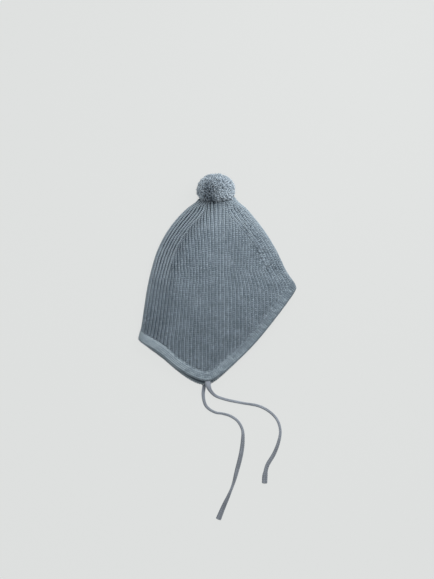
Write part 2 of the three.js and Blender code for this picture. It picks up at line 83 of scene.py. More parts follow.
# y, left fold, right fold, top, underside, fold height, curl
SECTIONS = np.array([
    (100, -21, 20, 27, 9, 18, 20), (93, -25.6, 24.4, 27, 7, 16.5, 22),
    (85, -36.5, 34, 25.5, 3.5, 12.5, 22), (72, -49.6, 45.4, 22.5, 0, 9.5, 18),
    (56, -61.6, 57.6, 20, 0, 8, 14), (35, -72.4, 70.2, 18.5, 0, 7.5, 12),
    (10, -80.2, 82.4, 18, 0, 7.5, 12), (-10, -84.6, 94.2, 18, 0, 8, 11),
    (-35, -88.6, 96, 17.5, 0, 8, 11), (-60, -92.4, 97, 17, 0, 8, 11),
    (-73, -95.6, 97, 16.5, 0, 8.2, 11), (-100, -96, 97, 16, 0, 8, 11),
    (-130, -96, 97, 15.5, 0, 8, 11),
], float)
# y, height of the fold's round, how far in it goes, how far in the layer goes on climbing
SHOULDERS = np.array([
    (100, 9, 18, 20), (93, 9, 16, 22), (85, 8, 12, 28), (72, 6.5, 9, 32), (56, 5.2, 6.5, 36),
    (35, 4.8, 5.5, 40), (10, 4.8, 5.5, 40), (-10, 5.4, 5.5, 36), (-35, 6, 6.5, 30),
    (-60, 6.8, 8, 22), (-73, 7.4, 9.5, 20), (-100, 7.4, 9.5, 20), (-130, 7.4, 9.5, 20),
], float)
# y, width of a strip rib as a share of a full one
STRIP_WIDTHS = np.array([
    (102, 0.5), (94, 0.66), (88, 0.84), (82, 1.05), (76, 1.15), (65, 1.15), (45, 1.04), (20, 1),
    (-130, 1),
], float)
# y, left crease, right crease, their rises
CREASES = np.array([
    (100, -12, 12, 0, 0), (86, -15, 22, 0.9, 0.3), (74, -23, 29, 1.9, 0.7),
    (49, -46, 42, 1.7, 0.8), (28, -55, 53, 0.7, 0.4), (5, -60, 66, 0, 0),
], float)
# x, y, across, along, depth
DENTS = [
    (-46, -34, 22, 34, 1.6), (14, 8, 20, 42, 1.1), (-8, -84, 24, 20, 1.3), (56, -14, 20, 24, 1.2),
]
# x, brim of the upper layer, brim of the lower layer
BRIM = np.array([
    (-96, -71, -71), (-93, -75, -75), (-86, -79.4, -80.4), (-78, -84, -86.4), (-66, -92.5, -95.2),
    (-51, -105, -108.2), (-36, -114.5, -119.2), (-22, -120.4, -126), (-12, -122, -127),
    (-2, -118.5, -121.5), (8, -111.5, -113), (22, -99.2, -99.8), (36, -85.8, -86),
    (50, -70.6, -70.6), (65, -52, -52), (80, -32.5, -32.5), (88, -21.4, -21.4),
    (92.5, -14.6, -14.6), (96, -6, -6),
], float)


# ---------------- small helpers
def smoothstep(value, low, high):
    share = np.clip((value - low) / (high - low), 0, 1)
    return share * share * (3 - 2 * share)


def unit(vectors):
    return vectors / np.maximum(np.linalg.norm(vectors, axis=-1, keepdims=True), 1e-9)


def square_to(vectors, normal):
    """The vectors without their share along the normal."""
    return vectors - (vectors * normal).sum(-1, keepdims=True) * normal


def lengths_along(line):
    steps = np.linalg.norm(np.diff(line, axis=0), axis=1)
    return np.concatenate([[0], np.cumsum(steps)])


def resampled(line, lengths, places):
    return np.stack([np.interp(places, lengths, line[:, k]) for k in range(3)], axis=-1)


def smooth_table(rows, places):
    """The table's other columns at the given places of its first one, on a smooth curve."""
    rows = rows[np.argsort(rows[:, 0])]
    keys = rows[:, 0]
    values = rows[:, 1:]
    place = np.clip(np.asarray(places, float), keys[0], keys[-1])
    after = np.clip(np.searchsorted(keys, place, side="right"), 1, len(keys) - 1)
    before = after - 1
    first, last = before == 0, after == len(keys) - 1
    previous = np.where(first, after, before - 1)
    following = np.where(last, before, np.minimum(after + 1, len(keys) - 1))
    gap = keys[after] - keys[before]
    pull = gap / 2 / np.where(first, keys[before] - keys[after], keys[before] - keys[previous])
    push = gap / 2 / np.where(last, keys[before] - keys[after], keys[following] - keys[after])
    p = (place - keys[before]) / gap
    weights = (
        -pull * p ** 3 + 2 * pull * p ** 2 - pull * p,
        (1 + pull) * p ** 3 + (-1.5 - 2 * pull) * p ** 2 + (-0.5 + pull) * p + 1,
        (-1 - push) * p ** 3 + (1.5 + push) * p ** 2 + 0.5 * p,
        push * p ** 3 - push * p ** 2,
    )
    places = (previous, before, after, following)
    return sum(weight[..., None] * values[place] for weight, place in zip(weights, places))


def meeting_y(low, high, rounds, is_past):
    """Halves the span between low and high, round by round, to where is_past starts to hold."""
    for _ in range(rounds):
        middle = (low + high) / 2
        past = is_past(middle)
        high = np.where(past, middle, high)
        low = np.where(past, low, middle)
    return (low + high) / 2


def grid_faces(rows, columns, closed=False):
    """Quads between rows of points that run round, and from the last to the first if closed."""
    rings = np.arange(rows if closed else rows - 1)
    row, column = np.meshgrid(rings, np.arange(columns), indexing="ij")
    below, beside = (row + 1) % rows, (column + 1) % columns
    corners = (row * columns + column, row * columns + beside,
               below * columns + beside, below * columns + column)
    return np.stack(corners, axis=-1).reshape(-1, 4)


FLIPPED = [0, 3, 2, 1]  # the corners of a quad that faces the other way


def tube_faces(rings, sides):
    """Quads and end triangles of a tube, whose two tips come after all its rings."""
    side = np.arange(sides)
    beside = (side + 1) % sides
    last, tip = (rings - 1) * sides, rings * sides
    ends = np.concatenate([
        np.stack([beside, side, np.full(sides, tip)], axis=-1),
        np.stack([last + side, last + beside, np.full(sides, tip + 1)], axis=-1),
    ])
    return grid_faces(rings, sides), ends


def link(piece, *nodes, slot, body="root"):
    """Puts a piece into the scene, riding on its body and standing for CAD nodes."""
    if piece.name not in bpy.context.scene.collection.objects:
        bpy.context.scene.collection.objects.link(piece)
    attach(piece, body)
    if nodes:
        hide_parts(*nodes)
    return piece


def dress(piece, material, node, slot):
    piece.data.materials.append(material)
    link(piece, node, slot=slot)


def make_mesh(name, points, quads, triangles, tones):
    """A smooth-shaded object from points in mm and arrays of corner numbers."""
    points = np.asarray(points, float).reshape(-1, 3)
    quads = np.asarray(quads, np.int32).reshape(-1, 4)
    triangles = np.asarray(triangles, np.int32).reshape(-1, 3)
    corners = np.concatenate([quads.ravel(), triangles.ravel()])
    totals = np.concatenate([np.full(len(quads), 4), np.full(len(triangles), 3)])
    starts = np.concatenate([[0], np.cumsum(totals)[:-1]])
    mesh = bpy.data.meshes.new(name)
    mesh.vertices.add(len(points))
    mesh.vertices.foreach_set("co", ((points + SHIFT) * MM).astype(np.float32).ravel())
    mesh.loops.add(len(corners))
    mesh.loops.foreach_set("vertex_index", corners.astype(np.int32))
    mesh.polygons.add(len(totals))
    mesh.polygons.foreach_set("loop_start", starts.astype(np.int32))
    mesh.polygons.foreach_set("loop_total", totals.astype(np.int32))
    mesh.polygons.foreach_set("use_smooth", np.ones(len(totals), bool))
    mesh.update(calc_edges=True)
    attribute = mesh.attributes.new("tone", "FLOAT", "POINT")
    attribute.data.foreach_set("value", np.asarray(tones, np.float32))
    mesh.validate()
    return bpy.data.objects.new(name, mesh)


def settle(points, floor=0.12, softness=1.1):
    """Presses what would reach under the table flat against it, without losing its relief."""
    points = np.array(points, float)
    z = points[..., 2]
    pressed = floor + (softness - floor) * np.exp((z - softness) / (softness - floor))
    points[..., 2] = np.where(z < softness, pressed, z)
    return points


# ---------------- the hat's outer surface
# A place is a turn and a y. The turn counts quarters round the section: 0 at the left fold,
# 1 at the middle of the upper layer, 2 at the right fold, 3 at the middle below.
TABLE_Y = np.arange(-133.0, 101.0, 1.0)
QUARTER_POINTS = 64
TABLE_STEPS = 160
FROM_FOLD = np.array([True, False, True, False])
ON_LEFT = np.array([True, False, False, True])
GATHER_END = 99.5  # the y where the fabric and the puckers stop following the surface


def relief(x, y):
    crease = smooth_table(CREASES, y)
    total = crease[..., 2] * np.exp(-(((x - crease[..., 0]) / CREASE_WIDTH) ** 2))
    total = total + crease[..., 3] * np.exp(-(((x - crease[..., 1]) / CREASE_WIDTH) ** 2))
    for dent_x, dent_y, across, along, depth in DENTS:
        away = np.hypot((x - dent_x) / across, (y - dent_y) / along)
        total = total - depth * np.exp(-(away ** 2))
    return total


def quarter_line(quarter):
    """The x and z of one quarter's points, for every y of the table."""
    left, right, top, under, fold, curl = smooth_table(SECTIONS, TABLE_Y).T[..., None]
    rim, rounding, climb_reach = smooth_table(SHOULDERS, TABLE_Y).T[..., None]
    share = np.linspace(0, 1, QUARTER_POINTS)[None, :]
    if FROM_FOLD[quarter]:
        share = 1 - share
    side = left if ON_LEFT[quarter] else right
    reach = np.abs(side)
    flat = np.maximum(0, reach - (rounding if quarter < 2 else curl))
    turn = np.maximum(0, 2 * share - 1) * math.pi / 2
    out = flat * np.minimum(1, 2 * share) + (reach - flat) * np.sin(turn)
    x = out * np.sign(side)
    if quarter >= 2:
        under = np.maximum(under, 0)
        return x, under + (fold - under) * (1 - np.cos(turn))
    rise = (top - fold - rim) * smoothstep(reach - out, 0, climb_reach)
    flank = smoothstep(1 - share, 0, 0.4)
    return x, fold + rim * np.cos(turn) + rise + relief(x, TABLE_Y[:, None]) * flank


def surface_table():
    table = np.zeros((len(TABLE_Y), 4 * TABLE_STEPS + 1, 2))
    for quarter in range(4):
        x, z = quarter_line(quarter)
        lengths = np.cumsum(np.hypot(np.diff(x, axis=1), np.diff(z, axis=1)), axis=1)
        lengths = np.concatenate([np.zeros((len(TABLE_Y), 1)), lengths], axis=1)
        places = np.linspace(0, 1, TABLE_STEPS + 1)
        for row in range(len(TABLE_Y)):
            along = places * lengths[row, -1]
            span = slice(quarter * TABLE_STEPS, (quarter + 1) * TABLE_STEPS + 1)
            table[row, span, 0] = np.interp(along, lengths[row], x[row])
            table[row, span, 1] = np.interp(along, lengths[row], z[row])
    return table


SURFACE = surface_table()
BRIM_X = np.arange(-100, 100.5, 0.5)
BRIM_LINES = smooth_table(BRIM, BRIM_X)


def brim_at(x, lower):
    upper_y = np.interp(x, BRIM_X, BRIM_LINES[:, 0])
    lower_y = np.interp(x, BRIM_X, BRIM_LINES[:, 1])
    return np.where(lower, lower_y, upper_y)


def brim_line(x, lower, inside):
    """The y of a line that runs a fixed distance inside the brim."""
    slope = brim_at(x + 0.5, lower) - brim_at(x - 0.5, lower)
    return brim_at(x, lower) + inside * np.hypot(1, slope)


def surface(turn, y):
    turn, y = np.broadcast_arrays(np.asarray(turn, float) % 4, np.asarray(y, float))
    row = np.clip(y - TABLE_Y[0], 0, len(TABLE_Y) - 1.001)
    column = np.clip(turn * TABLE_STEPS, 0, 4 * TABLE_STEPS - 0.001)
    i, j = row.astype(int), column.astype(int)
    a, b = (row - i)[..., None], (column - j)[..., None]
    upper = SURFACE[i, j] * (1 - b) + SURFACE[i, j + 1] * b
    lower = SURFACE[i + 1, j] * (1 - b) + SURFACE[i + 1, j + 1] * b
    place = upper * (1 - a) + lower * a
    x = place[..., 0]
    above = np.clip((y - brim_at(x, turn >= 2)) / MOUTH_REACH, 0, 1)
    mouth = 1 - (1 - MOUTH_SQUASH) * (1 - above) ** 2
    return np.stack([x, y, place[..., 1] * mouth], axis=-1)


def normals(turn, y):
    around = surface(turn + 0.02, y) - surface(turn - 0.02, y)
    down = surface(turn, y - 1) - surface(turn, y + 1)
    return -unit(np.cross(around, down))


def offset_surface(turn, y, out):
    return surface(turn, y) + normals(turn, y) * np.asarray(out, float)[..., None]


# ---------------- ribs
def rib_counts(left, y):
    strip = smooth_table(STRIP_WIDTHS, y)[..., 0]
    folds = smooth_table(SECTIONS, y)
    reach = np.abs(np.where(left, folds[..., 0], folds[..., 1]))
    block = np.clip(reach / FULL_HALF_WIDTH * RIBS_PER_QUARTER - strip * STRIP_RIBS, 1, BLOCK_RIBS)
    return strip, block, block + strip * STRIP_RIBS


def rib_width(quarter, rib, y):
    """Width as a share of a full rib: the last rib of the block is part grown."""
    strip, block, _ = rib_counts(ON_LEFT[quarter], y)
    return np.where(rib >= BLOCK_RIBS, strip, np.clip(block - rib, 0, 1))


def peeled(units, block):
    """Ribs that end at the strip peel away from it in a curve."""
    bend = PEEL * (1 - (block / BLOCK_RIBS) ** 3)
    room = block - bend * (1 - np.exp(-block / PEEL_REACH))
    ribs = np.maximum(block - units, 0)
    away = ribs - bend * (1 - np.exp(-ribs / PEEL_REACH))
    return np.where(units >= block, units, block * (1 - away / room))


def rib_turn(quarter, rib, across, y):
    """The turn of a place on a rib, from 0 at its side nearer the middle to 1 at the other."""
    strip, block, total = rib_counts(ON_LEFT[quarter], y)
    in_strip = rib >= BLOCK_RIBS
    near = np.where(in_strip, block + (rib - BLOCK_RIBS) * strip, np.minimum(rib, block))
    share = peeled(near + across * rib_width(quarter, rib, y), block) / total
    return quarter + np.where(FROM_FOLD[quarter], 1 - share, share)


def edge_y(quarter, rib, across, inside):
    """Where a line of the ribs meets a line that runs some way inside the brim."""
    low = np.full(np.broadcast(quarter, rib, across).shape, -132.0)

    def is_above(y):
        x = surface(rib_turn(quarter, rib, across, y), y)[..., 0]
        return y > brim_line(x, quarter >= 2, inside)

    return meeting_y(low, np.zeros_like(low), 30, is_above)


def seat_y(x, z, gap=0.8):
    """The pompom's face towards the hat."""
    out = np.hypot((x - POMPOM["x"]) / POMPOM["wide"], (z - POMPOM["z"]) / POMPOM["tall"])
    power = POMPOM["near_fullness"]
    return POMPOM["y"] - POMPOM["near"] * np.maximum(0, 1 - out ** power) ** (1 / power) - gap


def gather_y(quarter, rib, across):
    """Where a line of the ribs meets the pompom."""
    low = np.full(np.broadcast(quarter, rib, across).shape, 80.0)

    def is_past(y):
        point = surface(rib_turn(quarter, rib, across, y), np.minimum(y, GATHER_END))
        return y > seat_y(point[..., 0], point[..., 2])

    return meeting_y(low, np.full_like(low, 104.0), 24, is_past)


# ---------------- rods of yarn
def rods(centres, outward, half_widths, half_heights, sides):
    """Closed rods of yarn. centres is rod x place x 3, and its first and last places are tips."""
    count, places = centres.shape[:2]
    along = unit(np.gradient(centres, axis=1))[:, 1:-1]
    outward = unit(square_to(outward, along))
    across = np.cross(outward, along)
    angles = (np.arange(sides) + 0.5) / sides * 2 * math.pi
    wide = (half_widths[..., None] * np.cos(angles))[..., None]
    tall = (half_heights[..., None] * np.sin(angles))[..., None]
    rings = centres[:, 1:-1, None] + across[:, :, None] * wide + outward[:, :, None] * tall
    points = np.concatenate([rings.reshape(count, -1, 3), centres[:, :1], centres[:, -1:]], axis=1)
    quads, ends = tube_faces(places - 2, sides)
    each = points.shape[1]
    offsets = (np.arange(count) * each)[:, None, None]
    quads = (quads[None] + offsets).reshape(-1, 4)
    triangles = (ends[None] + offsets).reshape(-1, 3)
    return points, quads, triangles


def rod_tones(each, rings, sides):
    """A tone for each point of each rod: the rod's own, plus one for each ring round it, which paints
    shade and light along the rod.
    """
    along = np.concatenate([np.repeat(rings, sides), rings[:1], rings[-1:]])
    return np.clip(each[:, None] + along[None], 0, 1)


def make_strands(name, parts):
    """One object from several sets of points, faces and tones."""
    points, quads, triangles, tones, total = [], [], [], [], 0
    for part_points, part_quads, part_triangles, part_tones in parts:
        flat = part_points.reshape(-1, 3)
        points.append(flat)
        quads.append(part_quads + total)
        triangles.append(part_triangles + total)
        tones.append(part_tones.ravel())
        total += len(flat)
    joined = [np.concatenate(values) for values in (points, quads, triangles, tones)]
    return make_mesh(name, settle(joined[0]), *joined[1:])


# A knit stitch is a V of two legs. Each line is one place of a leg, from its foot to its top: the
# share of the column's width, the share of the row, the height over the fabric as a share of
# the yarn, and the half width and half height of the yarn there, as shares of the full ones.
LEG = np.array([
    (0.05, -0.20, -0.55, 0, 0),
    (0.09, 0.06, -0.08, 0.72, 0.75),
    (0.17, 0.42, 0.16, 1.0, 1.0),
    (0.26, 0.82, 0.06, 0.92, 0.85),
    (0.33, 1.22, -0.62, 0, 0),
])
# Painted shade at the foot of a leg, where it sinks into the fabric, and a painted highlight where it
# stands proud.
LEG_PAINTED_SHADE = np.array([-0.9, 0.3, -0.1])  # darker at the foot, paler where a leg stands proud
LEG_WIDTH = 0.235  # half width of a leg, as a share of its column's width
LEG_LEAN = 0.35  # how far a leg leans outward
STITCH_DIP = 0.28  # mm that the sides of a column lie under its middle
STITCH_STRAY = 0.05  # mm that a leg is off its place
STITCH_TONE, STITCH_TONE_SPREAD = 0.47, 0.14


def stitches(base, across, along, normal, width, row, thickness, tone):
    """The two legs of each stitch whose foot is at base."""
    parts = []
    for side in (-1, 1):
        count = len(base)
        u = side * LEG[None, :, 0] * width[:, None]
        v = LEG[None, :, 1] * row[:, None]
        h = LEG[None, :, 2] * thickness[:, None] - STITCH_DIP * (u / (0.5 * width[:, None])) ** 2
        nudge = rng.normal(0, STITCH_STRAY, (count, 1, 3))
        centres = (base[:, None] + across[:, None] * u[..., None] + along[:, None] * v[..., None]
                   + normal[:, None] * h[..., None] + nudge)
        half = LEG_WIDTH * width[:, None] * LEG[None, 1:-1, 3] * rng.normal(1, 0.06, (count, 1))
        tall = 0.5 * thickness[:, None] * LEG[None, 1:-1, 4]
        lean = normal[:, None] + side * LEG_LEAN * across[:, None]
        outward = np.repeat(lean, len(LEG) - 2, axis=1)
        points, quads, triangles = rods(centres, outward, half, tall, 4)
        tones = rod_tones(rng.normal(STITCH_TONE, STITCH_TONE_SPREAD, count) + tone, LEG_PAINTED_SHADE, 4)
        parts.append((points, quads, triangles, tones))
    return parts


# ---------------- the crown's ribs
ROW = 2.25  # height of a knit stitch
COLUMN_LOW = 1.06  # width of a column of stitches, as a share of its rib's
COLUMN_HIGH = 0.76  # the same where the knit is drawn in towards the gather
YARN = 1.15  # thickness of the yarn, mm
END_WIDTH = 0.22  # a rib narrower than this has ended
ROW_START_Y = -4.0  # rows are level with each other here
# The furrows are open by a share, from 0 closed to 1 as deep as they go.
DRAWN_LOW, DRAWN_HIGH = 10.0, 80.0  # between these heights the block's furrows open
STRIP_LOW, STRIP_HIGH = -25.0, 45.0  # between these heights the left strip's furrows open
DRAWN_BLOCK = 0.12  # how far the block's furrows are open high on the hat
DRAWN_LEFT = 0.35  # how far the left strip's are open low on the hat
DRAWN_RIGHT = 0.0  # how far the right strip's are open
DRAWN_BESIDE = 3.0  # ribs beside the left strip that open like it
DRAWN_GATHER = 0.1  # how far all of them open more, close to the pompom
DRAWN_PUCKER = 0.7  # and in a pucker
PUCKER_WAVES, PUCKER_START, PUCKER_GAIN = 1.8, 2.0, 1.6
PUCKER_REACH = 11.0  # mm to each side of a crease
PUCKER_LEFT, PUCKER_RIGHT = 0.2, 1.0
PUCKER_SPOT = (-34.0, 16.0)
SPOT_REACH = (22.0, 12.0)
SPOT_SHARE = 0.5
# Tones, as steps paler or darker than the stitches' own. Besides one step for all, they are painted
# light and shade: paler high on the hat, under the pompom, along the folds and on the strips, darker
# low on the hat, paler by the brim and darker in the puckers.
PAINTED_LIGHT_HIGH, PAINTED_LIGHT_UNDER_POMPOM, PAINTED_SHADE_LOW, DARK_ALL = 0.6, 0.35, 0.18, -0.05
PAINTED_LIGHT_FOLD_LEFT, PAINTED_LIGHT_FOLD_LEFT_LOW, PAINTED_LIGHT_FOLD_RIGHT = 0.12, 0.8, 0.3
PAINTED_LIGHT_STRIP_LEFT, PAINTED_LIGHT_STRIP_RIGHT = 0.5, 0.15
PAINTED_LIGHT_BRIM, PAINTED_SHADE_PUCKER = 0.2, 0.55
RIB_STRAY, PUCKER_STRAY = 0.16, 0.4  # mm that a column of stitches wanders to the side
STITCH_DEPTH = 0.35  # mm that the stitches lie under the ribs' outer surface
PUCKER_DEPTH = 0.4  # and deeper in a pucker
FULL_COLUMN = 3.0  # mm: a narrower column has thinner yarn
BRIM_LIFT, BRIM_FADE = 0.25, 4.0  # they lie less deep by the brim, which fades over these mm

# Seeded waves that make the knit a little uneven. Columns: x, y and z of the wave, its start.
WAVES = np.concatenate([rng.normal(0, 0.55, (8, 3)), rng.uniform(0, 2 * math.pi, (8, 1))], axis=1)


def unevenness(points, start=0.0):
    """A smooth seeded value from about -1 to 1 for each place."""
    angles = points @ WAVES[:, :3].T + WAVES[:, 3] + start
    return np.sin(angles).sum(-1) / 3


def beside_line(quarter, rib, y, reach):
    """1 at the ribs that are ending against the strip, falling to 0 within reach ribs of them."""
    _, block, _ = rib_counts(ON_LEFT[quarter], y)
    return np.exp(-(((rib + 0.5 - block) / reach) ** 2))


def puckers(quarter, rib, across, y):
    """Patches where the knit is pulled in: along the creases, more so on the right, and at one
    place on the left."""
    place = surface(rib_turn(quarter, rib, across, y), np.minimum(y, GATHER_END))
    patches = np.clip(PUCKER_GAIN * unevenness(PUCKER_WAVES * place, PUCKER_START), 0, 1)
    crease = smooth_table(CREASES, y)
    on_left = ON_LEFT[quarter]
    x = place[..., 0]
    line = np.where(on_left, crease[..., 0], crease[..., 1])
    beside = np.exp(-(((x - line) / PUCKER_REACH) ** 2)) * smoothstep(y, -15, 15)
    spot_x, spot_y = (x - PUCKER_SPOT[0]) / SPOT_REACH[0], (y - PUCKER_SPOT[1]) / SPOT_REACH[1]
    spot = np.exp(-np.hypot(spot_x, spot_y) ** 2)
    by_crease = np.where(on_left, PUCKER_LEFT, PUCKER_RIGHT) * beside
    return patches * np.maximum(by_crease, SPOT_SHARE * spot)


def drawn(quarter, rib, across, y):
    """How far the furrows are open: most in the left strip and the ribs beside it."""
    left_share = DRAWN_LEFT + (1 - DRAWN_LEFT) * smoothstep(y, STRIP_LOW, STRIP_HIGH)
    strip_share = np.where(ON_LEFT[quarter], left_share, DRAWN_RIGHT)
    block_share = DRAWN_BLOCK * smoothstep(y, DRAWN_LOW, DRAWN_HIGH)
    in_strip = rib >= BLOCK_RIBS
    beside = ON_LEFT[quarter] * beside_line(quarter, rib, y, DRAWN_BESIDE)
    nearness = np.where(in_strip, 1, beside)
    most = block_share + (strip_share - block_share) * nearness
    most = most + DRAWN_GATHER * smoothstep(y, 82, 94)
    return np.clip(most + DRAWN_PUCKER * puckers(quarter, rib, across, y), 0, 1)


def painted_light_and_shade(quarter, rib, y):
    """Painted light and shade on the wool, as steps paler: high on the hat and under the pompom,
    along the folds and on the strips, and darker low on the hat.
    """
    on_left = ON_LEFT[quarter]
    by_gather = DARK_ALL + PAINTED_LIGHT_HIGH * smoothstep(y, 40, 85) + PAINTED_LIGHT_UNDER_POMPOM * smoothstep(y, 82, 92)
    by_gather = by_gather - PAINTED_SHADE_LOW * smoothstep(-y, -15, 65)
    left_fold = PAINTED_LIGHT_FOLD_LEFT + PAINTED_LIGHT_FOLD_LEFT_LOW * smoothstep(-y, -30, 30)
    fold_share = np.where(on_left, left_fold, PAINTED_LIGHT_FOLD_RIGHT)
    by_fold = fold_share * smoothstep(rib + 0.5, RIBS_PER_QUARTER - 2.5, RIBS_PER_QUARTER)
    strip_share = np.where(on_left, PAINTED_LIGHT_STRIP_LEFT, PAINTED_LIGHT_STRIP_RIGHT) * smoothstep(y, -30, 30)
    by_strip = strip_share * (rib >= BLOCK_RIBS)
    return by_gather + by_fold + by_strip


def rib_stitches(quarter, rib):
    """The stitches of one rib, each at its foot, from the brim strip up."""
    bottom = float(edge_y(quarter, rib, 0.5, BAND_WIDTH - 0.7))
    top = float(gather_y(quarter, rib, 0.5))
    y = np.arange(bottom, top, 0.4)
    y = y[rib_width(quarter, rib, y) > END_WIDTH]
    if len(y) < 12:
        return []
    line = surface(rib_turn(quarter, rib, 0.5, y), np.minimum(y, GATHER_END))
    lengths = lengths_along(line)
    lengths -= np.interp(ROW_START_Y, y, lengths)
    first, last = math.ceil(lengths[0] / ROW), math.floor(lengths[-1] / ROW)
    feet = np.arange(first, last) + rng.uniform(-0.25, 0.25)
    y = np.interp(feet * ROW, lengths, y)
    turn = rib_turn(quarter, rib, 0.5, y)
    base = surface(turn, y)
    normal = normals(turn, y)
    ahead = np.minimum(y + 0.8, 100)
    behind = y - 0.8
    along = surface(rib_turn(quarter, rib, 0.5, ahead), ahead)
    along = unit(along - surface(rib_turn(quarter, rib, 0.5, behind), behind))
    along = unit(square_to(along, normal))
    across = np.cross(normal, along)
    sides = surface(rib_turn(quarter, rib, 1.0, y), y) - surface(rib_turn(quarter, rib, 0.0, y), y)
    column = COLUMN_LOW + (COLUMN_HIGH - COLUMN_LOW) * drawn(quarter, rib, 0.5, y)
    tight = puckers(quarter, rib, 0.5, y)
    width = np.abs((sides * across).sum(-1)) * column
    thickness = YARN * np.clip(width / FULL_COLUMN, 0.45, 1)
    row = np.full(len(y), ROW)
    stray = (RIB_STRAY + PUCKER_STRAY * tight) * unevenness(base)
    near_brim = np.exp(-(y - bottom) / BRIM_FADE)
    base = base - normal * (STITCH_DEPTH + PUCKER_DEPTH * tight - BRIM_LIFT * near_brim)[:, None]
    base = base + across * stray[:, None]
    # The stitches' painted light and shade, with painted shade in the puckers and painted light by
    # the brim strip, added to their own tone.
    tone = painted_light_and_shade(quarter, rib, y) - PAINTED_SHADE_PUCKER * tight + PAINTED_LIGHT_BRIM * near_brim
    return stitches(base, -across, along, normal, width, row, thickness, tone)


def crown_knit(name, quarter):
    parts = []
    for rib in range(RIBS_PER_QUARTER):
        parts += rib_stitches(np.int64(quarter), np.int64(rib))
    return make_strands(name, parts)


# ---------------- the fabric under the stitches
SHELL_ACROSS = np.array([0.0, 0.25, 0.5, 0.75])
SHELL_GROWN = 0.4  # a rib this wide, as a share of a full one, stands at its full height
SHELL_CREST = -0.95
SHELL_FURROW_LOW = -0.4
SHELL_FURROW_HIGH = -RIB_DEPTH - 0.9
SHELL_LEVEL = 5.0  # rows are level above this height and follow the brim under it


def shell_columns():
    quarters, ribs, across = [], [], []
    for quarter in range(4):
        order = range(RIBS_PER_QUARTER)
        if FROM_FOLD[quarter]:
            order = reversed(order)
        for rib in order:
            places = 1 - SHELL_ACROSS if FROM_FOLD[quarter] else SHELL_ACROSS
            quarters += [quarter] * len(places)
            ribs += [rib] * len(places)
            across += list(places)
    return np.array(quarters), np.array(ribs), np.array(across)


def crown_shell():
    quarter, rib, across = shell_columns()
    count = len(quarter)
    crown_edge = edge_y(quarter, rib, across, BAND_WIDTH - 0.5)
    ridge = (1 - np.cos(2 * math.pi * across)) / 2
    gather = gather_y(quarter, rib, across)

    def grown(y):
        return np.clip(rib_width(quarter, rib, y) / SHELL_GROWN, 0, 1)

    def outside(y):
        opened = drawn(quarter, rib, across, y)
        furrow = SHELL_FURROW_LOW + (SHELL_FURROW_HIGH - SHELL_FURROW_LOW) * opened
        out = furrow + (SHELL_CREST - furrow) * ridge * grown(y)
        return offset_surface(rib_turn(quarter, rib, across, y), np.minimum(y, GATHER_END), out)

    def inside(y):
        out = -WALL - 0.5 * ridge * grown(y)
        return offset_surface(rib_turn(quarter, rib, across, y), y, out)

    def towards_brim(share):
        return SHELL_LEVEL + (crown_edge - SHELL_LEVEL) * share

    rows = []
    rim = outside(gather)
    rim[:, 1] = seat_y(rim[:, 0], rim[:, 2])
    centre = np.array([POMPOM["x"], 0, POMPOM["z"]])
    for share in (0.15, 0.4, 0.7):
        dish = centre + (rim - centre) * share
        dish[:, 1] = seat_y(dish[:, 0], dish[:, 2])
        rows.append(dish)
    rows.append(rim)
    rows += [outside(np.full(count, y)) for y in np.arange(90.0, SHELL_LEVEL - 0.1, -2.5)]
    rows += [outside(towards_brim(share)) for share in np.linspace(0, 1, 18)[1:]]
    rows += [inside(towards_brim(share)) for share in np.linspace(1, 0, 11)[:-1]]
    rows += [inside(np.full(count, y)) for y in np.arange(SHELL_LEVEL, 84.0, 6.0)]
    points = settle(np.stack(rows))
    quads, ends = tube_faces(len(rows), count)
    # Painted shade in the furrows between the ribs, darker the wider they are open.
    tones = 0.78 - (0.1 + 0.6 * drawn(quarter, rib, across, points[..., 1])) * (1 - ridge)
    tones = np.concatenate([tones.ravel(), [0.5, 0.5]])
    points = points.reshape(-1, 3)
    dish_middle = np.array([[POMPOM["x"], float(seat_y(POMPOM["x"], POMPOM["z"])), POMPOM["z"]]])
    back_middle = np.array([[0, 84.0, 17.0]])
    points = np.concatenate([points, dish_middle, back_middle])
    piece = make_mesh("crown_fabric", points, quads[:, FLIPPED], ends[:, ::-1], tones)
    merge_close_points(piece)
    return piece


def merge_close_points(piece, distance=0.00002):
    work = bmesh.new()
    work.from_mesh(piece.data)
    bmesh.ops.remove_doubles(work, verts=work.verts, dist=distance)
    bmesh.ops.dissolve_degenerate(work, edges=work.edges, dist=distance / 2)
    bmesh.ops.recalc_face_normals(work, faces=work.faces)
    work.to_mesh(piece.data)
    work.free()


# ---------------- the brim strip
# share of the way to the free edge, height over the surface, tone in the upper and lower layer. The
# tones paint light and shade: the upper layer's inner face is dark with painted shade, and the lower
# layer's face inside the mouth is painted pale by its free edge and dark with painted shadow further
# in, under the upper layer.
BAND_SECTION = np.array([
    (0, -0.3, 0.6, 0.5), (0.04, 0.0, 0.6, 0.5), (0.12, 0.1, 0.5, 0.5), (0.3, 0.15, 0.5, 0.5),
    (0.5, 0.18, 0.5, 0.5), (0.7, 0.15, 0.5, 0.5), (0.88, 0.0, 0.6, 0.5), (0.97, -0.35, 0.6, 0.7),
    (1.0, -0.9, 0.5, 1.0), (1.0, -1.7, 0.4, 1.2), (0.97, -2.1, 0.2, 1.4), (0.9, -BAND_INSIDE, 0, 1.4),
    (0.85, -BAND_INSIDE, 0, 1.3), (0.79, -BAND_INSIDE, 0, -0.4), (0.5, -BAND_INSIDE, 0, -0.3),
    (0.1, -BAND_INSIDE, 0, 0), (0, -2.1, 0, 0),
])
BAND_ROW = 2.1
BAND_COLUMN = 2.45
BAND_YARN = 0.95
BAND_SAMPLES = 4000
EDGE_ROW_DEPTH = 2.0  # how far under the strip's face its edge row starts
EDGE_ROW_SHIFT = -0.3  # and how far towards the crown


def evened(line):
    """A line round the brim without the waves of the ribs, since the strip is plain."""
    return np.convolve(np.concatenate([line[-2:], line, line[:2]]), np.ones(5) / 5, "valid")


